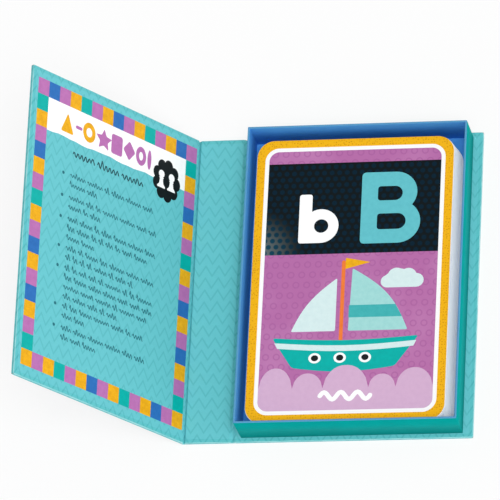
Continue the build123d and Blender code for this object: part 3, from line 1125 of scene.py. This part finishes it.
# %% Draw the letter M
def capital_m(at):
    """A softened polygon, given by its right half and mirrored about its middle."""
    half = np.array([3 - 8j, 9.6 + 4j, 9.6 - 17j, 17 - 17j, 17 + 21j, 9.8 + 21j, 3.5j])
    mirrored = -half[-2::-1].conj()
    return [soften(np.concatenate([half, mirrored]), 1.3) + 17 + 17j + at]


def small_m(at):
    """Three stems, with the inner and outer arcs of two humps between them."""
    hump, inner = 6.1, 2.0
    outer = np.concatenate([
        [0, 5.4], [5.4 + 10.4j], arc(7.4 + 10.4j, inner, 180, 0, 8), [9.4 + 0j, 14.6],
        arc(16.6 + 10.4j, inner, 180, 0, 8), [18.6 + 0j, 24.0], arc(17.9 + 11.6j, hump, 0, 128, 12),
        arc(8.4 + 11.8j, hump, 52, 110, 8), [5.4 + 16.6j, 5.4 + 18.4j, 18.4j]])
    return [outer + at]


print("capital M has", sum(len(loop) for loop in capital_m(0)), "points")

# %% [markdown]
# ## The ground of a card
#
# Every panel ends in the same way: a lilac ground of round hills with a small white wave on it. It fills
# the panel's foot exactly, so it takes its width and its rounded corners from the card.

# %% Draw the ground
PANEL_INSET = (BORDER + KEYLINE) / MM
FIELD_X = CARD_WIDTH / 2 / MM - PANEL_INSET  # half width of the printed panel, in millimetres
FIELD_Y0 = PANEL_INSET - CARD_HEIGHT / 2 / MM
PANEL_CORNER = 5.0
SHARP_CORNER = 0.1  # the two corners above are cut off again
ARCH_POINTS = 16
HILL_TOPS = 10, 7, 12, 8, 11
HILL_WIDTHS = 1.1, 0.8, 1.35, 0.9, 1.0  # shares, which are scaled to the panel
HILL_FOOT = -57.5  # level that the hills rise from


def hills(tops, widths, level):
    """Ground across the panel: rounded foot corners below, and arches of their own widths above a level.

    Over each arch u runs from -1 to 1, and its height is its top times (1 - |u|^2.2)^0.6.
    """
    edges = np.concatenate([[0], np.cumsum(widths)]) / sum(widths)
    counted = np.linspace(0, len(tops), ARCH_POINTS * len(tops) + 1)
    across = np.interp(counted, np.arange(len(edges)), edges)
    height = np.take([*tops, 0], counted.astype(int)) * (1 - np.abs(2 * (counted % 1) - 1) ** 2.2) ** 0.6
    skyline = FIELD_X * (1 - 2 * across) + 1j * (level + height)
    radii = [PANEL_CORNER, SHARP_CORNER, SHARP_CORNER, PANEL_CORNER]
    corners = rounded_outline(-FIELD_X, FIELD_X, FIELD_Y0, 0, radii)
    return np.concatenate([corners[:CORNER_STEPS], skyline, corners[3 * CORNER_STEPS:]])


def wavy_line(centre, width, rise, stroke, waves):
    """A wavy stroke: y = rise sin x over a number of whole waves."""
    t = np.linspace(0, 1, 12 * waves + 1)
    return ribbon(centre + width * (t - 0.5) + 1j * rise * np.sin(2 * np.pi * waves * t), stroke)[0]


ground = [("lilac", 4, hills(HILL_TOPS, HILL_WIDTHS, HILL_FOOT)),
          ("white", 5, wavy_line(-61.5j, 25, 1.9, 2.3, 3))]
print("ground of", len(ground[0][2]), "points")

# %% [markdown]
# ## A sailing boat
#
# The boat is made as a sailmaker and a boatbuilder would speak of it. The sails are straight along the
# mast and the foot, and their third side is a straight line that bellies out by a half sine. The hull is
# a softened four-sided shape whose deck and keel sag by a half sine too.

# %% Draw the boat
BEAM = 1.14  # the boat is drawn once and then made a little broader


def bellied(start, end, belly, steps=9):
    """A line that bellies out on its way: start + (end - start) t + belly sin(pi t)."""
    t = np.linspace(0, 1, steps)
    return start + (end - start) * t + belly * np.sin(np.pi * t)


def boat():
    """Softened hull with a sagging deck, two full sails, a mast and a pennant."""
    mast = ribbon(np.linspace(-3 - 34j, -3 + 9j, 8), 1.7)[0]
    leech = bellied(26 - 27.5j, 1 + 5.5j, 4.2 * np.exp(0.65j), 12)
    main_sail = soften(np.concatenate([[-27.5j], leech]), 0.9)
    luff = bellied(-5.6 + 0.5j, -25 - 27.5j, 2.6 * np.exp(2.6j), 12)
    jib = soften(np.concatenate([[-5.6 - 27.5j], luff]), 0.9)
    band_y = np.array([-20.5, -14.0])
    band_end = np.interp(band_y, leech.imag, leech.real) + 1j * band_y
    band = np.concatenate([1j * band_y[:1], band_end, 1j * band_y[1:]])
    deck, keel = bellied(31 - 30.6j, -33 - 30.6j, -1.8j), bellied(-24 - 46.5j, 21 - 46.5j, -2.4j)
    hull = soften(np.concatenate([keel, deck]), 1.6)
    strake = np.concatenate([bellied(-30.6 - 36.2j, 28.9 - 36.2j, -1.9j),
                             bellied(30.1 - 33.2j, -32.0 - 33.2j, -1.9j)])
    pennant = soften([-2.2 + 11.2j, -2.2 + 5.2j, 8.8 + 8.6j], 0.6)
    shapes = [("orange", 1, mast), ("pale_teal", 1, main_sail), ("mist", 1, jib), ("yellow", 2, pennant),
              ("deep_teal", 2, band), ("green_teal", 2, hull), ("mist", 3, strake)]
    for x in (-14, -3, 8):
        shapes += [("white", 3, disc(x - 41.6j, 2.7)), ("black", 4, disc(x - 41.6j, 1.6))]
    return [(colour, layer, BEAM * outline.real + 1j * outline.imag) for colour, layer, outline in shapes]


print("boat of", len(boat()), "shapes")

# %% [markdown]
# ## A cloud, an apple and a moon
#
# The other pictures are circles, changed a little. The cloud is a row of arcs. The apple is a circle whose
# radius dips at its top and its foot, with a short stalk and a leaf between two bellied lines.

# %% Draw the cloud and the apple
def cloud(at, size):
    """Four arcs on a flat foot, one after the other."""
    left = arc(-8.2 + 1.2j, 3.6, 110, 270, 10)
    right_side = arc(8.0 + 1.6j, 4.0, -90, 75, 10)
    middle_arcs = np.concatenate([arc(3.4 + 4.2j, 4.6, 20, 120, 8), arc(-3.2 + 4.2j, 4.9, 65, 160, 8)])
    return at + size * np.concatenate([right_side, middle_arcs, left])


def apple():
    """A circle whose radius dips where the stalk and the core are, with a stalk, a leaf and a shine."""
    t = np.linspace(0, 2 * np.pi, 60, endpoint=False)
    radius = 21.5 * (1 + 0.10 * np.abs(np.sin(t)) ** 0.6 - 0.20 * np.exp(-((t - np.pi / 2) / 0.30) ** 2)
                     - 0.08 * np.exp(-((t - 3 * np.pi / 2) / 0.26) ** 2))
    body = -22j + radius * np.exp(1j * t)
    stalk = ribbon(np.array([-0.4 - 4j, 0.2 + 1j, 2.0 + 6j, 4.6 + 9.5j]), 2.2)[0]
    blade = [bellied(3 + 2j, 19 + 7j, bulge, 14) for bulge in (-4.6j, 4.6j)]
    leaf_shape = np.concatenate([blade[0], blade[1][-2:0:-1]])
    shine = ribbon(arc(-22j, 15.5, 112, 158, 9), 3.0)[0]
    return [("orange", 1, stalk), ("green_teal", 1, leaf_shape), ("yellow", 1, body), ("white", 2, shine)]


print("apple of", len(apple()), "shapes")

# %% [markdown]
# The moon is a circle with a bite of a second one, so it is closed by an arc that runs back inwards. A few
# stars stand beside it, and small hollows lie in it. With the pictures ready, a card is its two letters,
# its picture and the ground in front of it.

# %% Draw the moon and put the cards together
def moon():
    """A crescent, closed by an arc of a second circle that bulges inwards, with hollows, and stars."""
    outer = arc(-2 - 22j, 23, 75, 315, 30)
    chord = 23 * np.exp(1j * np.radians([315, 75])) - 2 - 22j
    centre = chord.mean() + 3.4 * np.exp(1j * np.radians(15))
    inner_radius = abs(chord[0] - centre)
    first, last = (direction(point - centre) for point in chord)
    inner = arc(centre, inner_radius, first, last - 360, 30)
    crescent = np.concatenate([outer, inner[1:-1]])
    lights = ((20 - 8j, 6.0), (30 - 24j, 4.2), (17 - 33j, 3.6), (-32 + 4j, 3.6))
    hollows = ((-17 - 26j, 2.6), (-12 - 12j, 1.8), (-8 - 37j, 2.0))
    shapes = [("yellow", 1, star(at, size)) for at, size in lights]
    shapes += [("pale_teal", 2, disc(at, size, 20)) for at, size in hollows]
    return [("mist", 1, crescent)] + shapes


def card_design(capital, small, picture):
    """One card: teal capital, white small letter, a picture, and the ground in front of it."""
    return [("teal", 1, *capital), ("white", 1, *small)] + picture + ground


boat_picture = [("mist", 1, cloud(26 - 3j, 0.9))] + boat()
boat_card = card_design(capital_b(4 + 18.5j), small_b(-27 + 19.5j), boat_picture)
apple_card = card_design(capital_a(-35 + 18.5j), small_a(12 + 18.8j), apple())
moon_card = card_design(capital_m(2 + 18.5j), small_m(-33 + 19j), moon())
print("boat card shapes", len(boat_card))

# %% [markdown]
# ## Print the shown cards
#
# Only four faces can ever be seen: the top card, the one under it, the one that they leave bare when they
# are lifted, and the one where the deck is cut. The top card has free air above it, so its ink may be
# thicker. The others lie 0.02 mm under the next card, and five layers of ink have to fit in that. A film
# stands on its sheet: a place is an origin and three directions, right, up and out of the paper, so the
# same code prints on a card, inside the cover and on the outside of the box.

# %% Print the cards
TOP_FILM = 0.012 * MM
STACK_FILM = 0.0035 * MM
X_AXIS, Y_AXIS, Z_AXIS = np.eye(3)


def print_film(name, shapes, place, body, film):
    """One mesh of inked shapes. A shape is (ink, layer, outline, holes...), in millimetres on its sheet.

    place is (origin, right, up, out) and whether the open cover carries it. film is a layer's thickness.
    """
    (origin, right, up, out), carried = place
    used = list(dict.fromkeys(shape[0] for shape in shapes))
    points, faces, colours, total = [], [], [], 0
    for colour, layer, *loops in shapes:
        loops = [np.asarray(loop, complex) for loop in loops]
        flat = np.concatenate(loops)
        height = np.repeat([0.0, layer * film], len(flat))
        plane = np.tile(flat, 2) * MM
        level = np.outer(plane.real, right) + np.outer(plane.imag, up)
        points.append(level + np.outer(height, out) + origin)
        shape_faces = film_faces(loops, total)
        faces += shape_faces
        colours += [used.index(colour)] * len(shape_faces)
        total += 2 * len(flat)
    points = np.concatenate(points)
    if carried:
        points = fold_over(points, 1.0)
    piece = make_piece(name, points, faces, inks[used[0]], body)
    for colour in used[1:]:
        piece.data.materials.append(inks[colour])
    piece.data.polygons.foreach_set("material_index", colours)
    return piece


CARD_PRINTS = {
    "card_b_top": (boat_card, "card_top", TOP_FILM),
    "card_b_under": (boat_card, "card_under", STACK_FILM),
    "card_pair_a": (apple_card, "deck_upper", STACK_FILM),
    "card_pair_m": (moon_card, "deck_lower", STACK_FILM),
}
for node, (shapes, body, film) in CARD_PRINTS.items():
    centre, top = middle(node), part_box(node)[1].z
    place = (np.array([centre.x, centre.y, top]), X_AXIS, Y_AXIS, Z_AXIS), False
    print_film(node + "_print", shapes, place, body, film)
print("printed", ", ".join(CARD_PRINTS))

# %% [markdown]
# ## The inside of the cover
#
# The inside of the cover is a printed page: a border of coloured squares, a white banner with a row of
# plain shapes, a black scalloped badge with two pawns, and fine print below. Places are measured in
# millimetres from the cover's free edge, rightwards, and from its head, downwards. The order of the
# squares is written as a row of letters, one for each ink, so that it is easy to read and to change.

# %% Draw the border and the banner
SQUARE_WIDTH, SQUARE_HEIGHT = 7.53, 8.36
COLUMNS, ROWS = 15, 18
PAGE_LEFT, PAGE_TOP = 3.9, 5.2
SQUARE_INKS = {"P": "plum", "B": "blue", "T": "green_teal", "Y": "yellow"}
HEAD_ROW = ("P" + 3 * "BPYTPY")[:COLUMNS]
FOOT_ROW = ("Y" + 3 * "PYTPYB")[:COLUMNS]
SIDE_ROWS = 2 * "PTYPBY" + "PBYPTY"
BANNER_HEIGHT = 17.1
BANNER_LEFT, BANNER_RIGHT = PAGE_LEFT + SQUARE_WIDTH, PAGE_LEFT + (COLUMNS - 1) * SQUARE_WIDTH
BANNER_TOP = PAGE_TOP + SQUARE_HEIGHT
BANNER_FOOT = BANNER_TOP + BANNER_HEIGHT


def box_outline(left, top, right_end, foot_end):
    """Rectangle given from the page's corner, rightwards and downwards."""
    high, low = -1j * top, -1j * foot_end
    return np.array([left + low, right_end + low, right_end + high, left + high])


def squares_border():
    """A ring of squares, each in the ink that its letter in the row names."""
    cells = [(column, 0, HEAD_ROW[column]) for column in range(COLUMNS)]
    cells += [(column, ROWS - 1, FOOT_ROW[column]) for column in range(COLUMNS)]
    cells += [(side, row, SIDE_ROWS[row]) for row in range(1, ROWS - 1) for side in (0, COLUMNS - 1)]
    shapes = []
    for column, row, letter in cells:
        left, top = PAGE_LEFT + column * SQUARE_WIDTH, PAGE_TOP + row * SQUARE_HEIGHT
        square = box_outline(left, top, left + SQUARE_WIDTH, top + SQUARE_HEIGHT)
        shapes.append((SQUARE_INKS[letter], 1, square))
    return shapes


def banner(left, right_end, top, foot_end):
    """White band whose foot edge wavers a little, as if cut by hand: two small sines added."""
    x = np.linspace(left, right_end, 25)
    foot_line = x - 1j * (foot_end + 0.35 * np.sin(0.21 * x) + 0.2 * np.sin(0.53 * x))
    return np.concatenate([foot_line, [right_end - 1j * top, left - 1j * top]])


print("squares in the border", len(squares_border()))

# %% [markdown]
# The banner carries a row of simple shapes. Each is a softened polygon, an oval, a ring, a star or a
# stroke, and each stands at its own place along the line.

# %% Draw the row of shapes
SHAPES_LINE = 22.6  # the middle of the row, below the page's head


def squeezed(radius, share):
    """Upright oval: a disc whose width is a share of its height."""
    round_shape = disc(0, radius)
    return share * round_shape.real + 1j * round_shape.imag


def shape_row(middle_line):
    """Plain shapes side by side along a line, about ten millimetres tall."""
    low, high = -5.2j, 5.2j
    shapes = [
        ("yellow", 2, soften(25.4 + np.array([low - 4.5, low + 4.5, high]), 1.4)),
        ("plum", 2, ribbon(np.linspace(31.9, 34.9, 4), 1.7)[0]),
        ("yellow", 2, 40.6 + squeezed(5.2, 0.84), clockwise(40.6 + squeezed(2.4, 0.84))),
        ("plum", 2, star(51.0 - 0.4j, 5.8)),
        ("plum", 2, soften(60.2 + np.array([low - 3.9, low + 3.9, high + 3.9, high - 3.9]), 1.6)),
        ("plum", 2, soften(69.0 + np.array([low, 4.3, high, -4.3]), 1.2)),
        ("plum", 2, 77.4 + squeezed(5.0, 0.72), clockwise(77.4 + squeezed(2.3, 0.62))),
        ("plum", 2, 83.4 + squeezed(5.2, 0.27)),
    ]
    down = 1j * middle_line
    return [(colour, layer, *[loop - down for loop in loops]) for colour, layer, *loops in shapes]


print("shapes in the row", len(shape_row(SHAPES_LINE)))

# %% [markdown]
# The badge is an oval whose radius swells and dips nine times. On it stand pawns, each half an outline and
# its mirror image. Their number and size can be chosen, because the narrow spine has room for only one.

# %% Draw the badge
def badge(centre, half_width=9.9, half_height=11.4, pawns=(-3.6, 3.6), pawn_height=9.4):
    """Black oval with nine lobes, where the radius is 1 - dent (1 - |cos|^0.7), and white pawns on it.

    A pawn is given by its right side: foot, waist and round head. Its left side is the mirror image.
    """
    lobes, dent = 9, 0.16
    t = np.linspace(0, 2 * np.pi, lobes * 12, endpoint=False)
    reach = 1 - dent * (1 - np.abs(np.cos(0.5 * lobes * t)) ** 0.7)
    plate = centre + reach * (half_width * np.cos(t) + 1j * half_height * np.sin(t))
    body = [3.0, 3.1 + 0.9j, 1.7 + 2.4j, 1.2 + 5.2j, 1.9 + 6.0j]
    right_side = np.concatenate([body, arc(8.2j, 2.3, -62, 90, 9)])
    drawn_height = 10.5
    pawn = np.concatenate([right_side, -right_side[::-1].conj()[1:]]) - 0.5j * drawn_height
    pawn = pawn_height / drawn_height * pawn
    return [("black", 3, plate)] + [("white", 4, centre + side + pawn) for side in pawns]


print("badge of", len(badge(0)), "shapes")

# %% [markdown]
# The page is printed as one film. It is laid out on the flat cover, and the film is turned up with the
# cover, so no shape has to be drawn at a slant. A round bullet stands before each paragraph.

# %% Print the inside of the cover
COVER_FILM = 0.012 * MM
BULLET_X, BULLET = 24.6, 0.85  # place and radius
PARAGRAPHS = (  # first line, below the page's head, and number of lines
    (49.1, 2), (60.8, 2), (72.0, 3), (87.3, 2), (97.8, 4), (117.8, 2), (128.9, 2))

page = (np.array([COVER_X0, HALF_HEIGHT, LEAF_TOP]), X_AXIS, Y_AXIS, Z_AXIS), True
inside_shapes = squares_border()
inside_shapes += [("white", 1, banner(BANNER_LEFT, BANNER_RIGHT, BANNER_TOP, BANNER_FOOT))]
inside_shapes += shape_row(SHAPES_LINE) + badge(96.2 - 29.5j)
inside_shapes += [("text", 1, disc(BULLET_X - 1j * line, BULLET, 16)) for line, _ in PARAGRAPHS]
print_film("cover_inside_print", inside_shapes, page, "front_cover", COVER_FILM)
print("shapes inside the cover", len(inside_shapes))

# %% [markdown]
# ## Fine print as wavy strokes
#
# From arm's length fine print is a texture of short dark marks in lines. Each mark is one wavy stroke,
# and strokes of random length fill each line, from a fixed seed so that every run prints the same page.

# %% Draw strokes along a line
STROKE_WAVES = 2, 7  # a stroke has at least two waves and fewer than seven
STROKE_GAP = 0.86  # room between two strokes, as a share of a wave
STROKE_POINTS = 30
WAVE_HEIGHTS = 0.42, 0.68  # least and most, as shares of a wave's width
WAVE_TURN = 0.94  # waves a little longer than their pitch, so that their crests drift
TALL_WAVE, TALL_AT, TALL_WIDTH = 0.75, 0.25, 0.2  # the one taller wave: height, place and width
random = np.random.default_rng(26)


def strokes_on(first, last, middle_line, wave):
    """Strokes along one line: x even, y a sine whose height changes at random, and one taller wave."""
    strokes, x = [], first
    while x < last - 3 * wave:
        waves = int(min(random.integers(*STROKE_WAVES), (last - x) // wave))
        t = np.linspace(0, waves, STROKE_POINTS)
        height = np.interp(t, np.arange(waves + 1), random.uniform(*WAVE_HEIGHTS, waves + 1))
        tall = TALL_WAVE * np.exp(-((t - random.integers(0, waves) - TALL_AT) / TALL_WIDTH) ** 2)
        y = wave * (height * np.sin(2 * np.pi * t * WAVE_TURN) + tall)
        strokes.append(x + wave * t + 1j * (y - middle_line))
        x += (waves + STROKE_GAP) * wave
    return strokes


print("a stroke has", STROKE_POINTS, "points and up to", STROKE_WAVES[1] - 1, "waves")

# %% [markdown]
# A closed film for every stroke would cost many faces. So all strokes of one width are worked out
# together, as one array of strokes by points, and each is a very low ridge, three sides carried along
# its path.

# %% Fill the lines
FINE_WAVE = 1.75  # width of one wave
FINE_LEFT, FINE_RIGHT = 29.5, 92.0
LINE_PITCH = 4.95
LAST_LINE = 16, 54  # least and most length of a paragraph's last line
HEADING = 30.5, 84.5, 37.4, 2.5  # first and last place, line, and width of one wave
FINE_STROKE, HEADING_STROKE = 0.55, 0.75
STROKE_FILM = 0.02 * MM


def stroke_film(name, paths, width, colour):
    """Low ridges along many paths: right and left foot on the paper and a crest between them."""
    (origin, right, up, out), _ = page
    ahead = np.gradient(paths, axis=1)
    side = 0.5j * width * ahead / abs(ahead)
    plane = np.stack([paths - side, paths + side, paths], -1) * MM
    height = np.broadcast_to([0, 0, STROKE_FILM], plane.shape)
    points = plane.real[..., None] * right + plane.imag[..., None] * up + height[..., None] * out + origin
    index = np.arange(plane.size).reshape(plane.shape)
    near, far = index[:, :-1], index[:, 1:]
    sides = np.stack([near, np.roll(near, -1, 2), np.roll(far, -1, 2), far], -1).reshape(-1, 4)
    ends = np.concatenate([index[:, 0, ::-1], index[:, -1]])
    points = fold_over(points.reshape(-1, 3), 1.0)
    faces = sides.tolist() + ends.tolist()
    make_piece(name, points, faces, inks[colour], "front_cover")


fine_paths = []
for top, count in PARAGRAPHS:
    for row in range(count):
        line_end = FINE_RIGHT if row < count - 1 else FINE_LEFT + random.uniform(*LAST_LINE)
        fine_paths += strokes_on(FINE_LEFT, line_end, top + row * LINE_PITCH, FINE_WAVE)
heading_paths = strokes_on(*HEADING)
stroke_film("cover_lines_print", np.array(fine_paths), FINE_STROKE, "text")
stroke_film("cover_heading_print", np.array(heading_paths), HEADING_STROKE, "heading")
print("strokes", len(fine_paths) + len(heading_paths))

# %% [markdown]
# ## The outside of the box
#
# The outside is not seen while the box lies open, so its print is a guess in the same manner: the border of
# squares, a banner of plain shapes, and the boat from the top card on a plum panel. The spine gets a short
# row of shapes. The sheets face down, so a reader's right on them is towards the free edge.

# %% Print the front of the cover and the spine
def moved(shapes, by, size, raised=0):
    """The same shapes, made larger and put in another place, on top of as many layers as raised says."""
    return [(colour, layer + raised, *[np.asarray(loop) * size + by for loop in loops])
            for colour, layer, *loops in shapes]


FRONT_SHIFT = -2.7  # the outer sheet's border sits in the middle of the leaf
FRONT_BANNER = 6  # the outer banner is this much taller
PANEL_LINE = 132  # the strip with the wavy line, below the page's head

front_page = (np.array([COVER_X1, HALF_HEIGHT, 0.0]), -X_AXIS, Y_AXIS, -Z_AXIS), True
front_banner = banner(BANNER_LEFT + FRONT_SHIFT, BANNER_RIGHT + FRONT_SHIFT, BANNER_TOP,
                      BANNER_FOOT + FRONT_BANNER)
front_shapes = moved(squares_border(), FRONT_SHIFT, 1.0) + [("white", 1, front_banner)]
front_shapes += moved(shape_row(SHAPES_LINE), -9.6 + 0.6j, 1.18) + badge(98.0 - 35.0j)
front_shapes += [("plum", 1, soften(box_outline(14, 44, 101, 139), 7))]
front_shapes += moved(boat(), 59.5 - 72j, 1.22, raised=1)
front_shapes += [("lilac", 2, ribbon(np.linspace(22, 93, 6) - 1j * PANEL_LINE, 5.0)[0])]
front_shapes += [("white", 3, wavy_line(57.5 - 1j * PANEL_LINE, 50, 1.4, 1.4, 6))]
print_film("cover_front_print", front_shapes, front_page, "front_cover", COVER_FILM)

spine_middle = (spine_low.x + spine_high.x) / 2
spine_page = (np.array([spine_middle, 0.0, 0.0]), -X_AXIS, Y_AXIS, -Z_AXIS), False
spine_shapes = [("yellow", 1, disc(52j, 5.4), clockwise(disc(52j, 2.5))), ("plum", 1, star(36j, 6.4)),
                ("blue", 1, soften(20j + 4.6 * np.array([-1 - 1j, 1 - 1j, 1 + 1j, -1 + 1j]), 1.4)),
                ("green_teal", 1, soften(4j + np.array([-5.2 - 4.6j, 5.2 - 4.6j, 5.2j]), 1.2))]
spine_shapes += badge(-54j, 7.6, 8.6, pawns=(0,), pawn_height=7.6)
print_film("spine_print", spine_shapes, spine_page, "spine", COVER_FILM)
print("shapes on the outside", len(front_shapes) + len(spine_shapes))
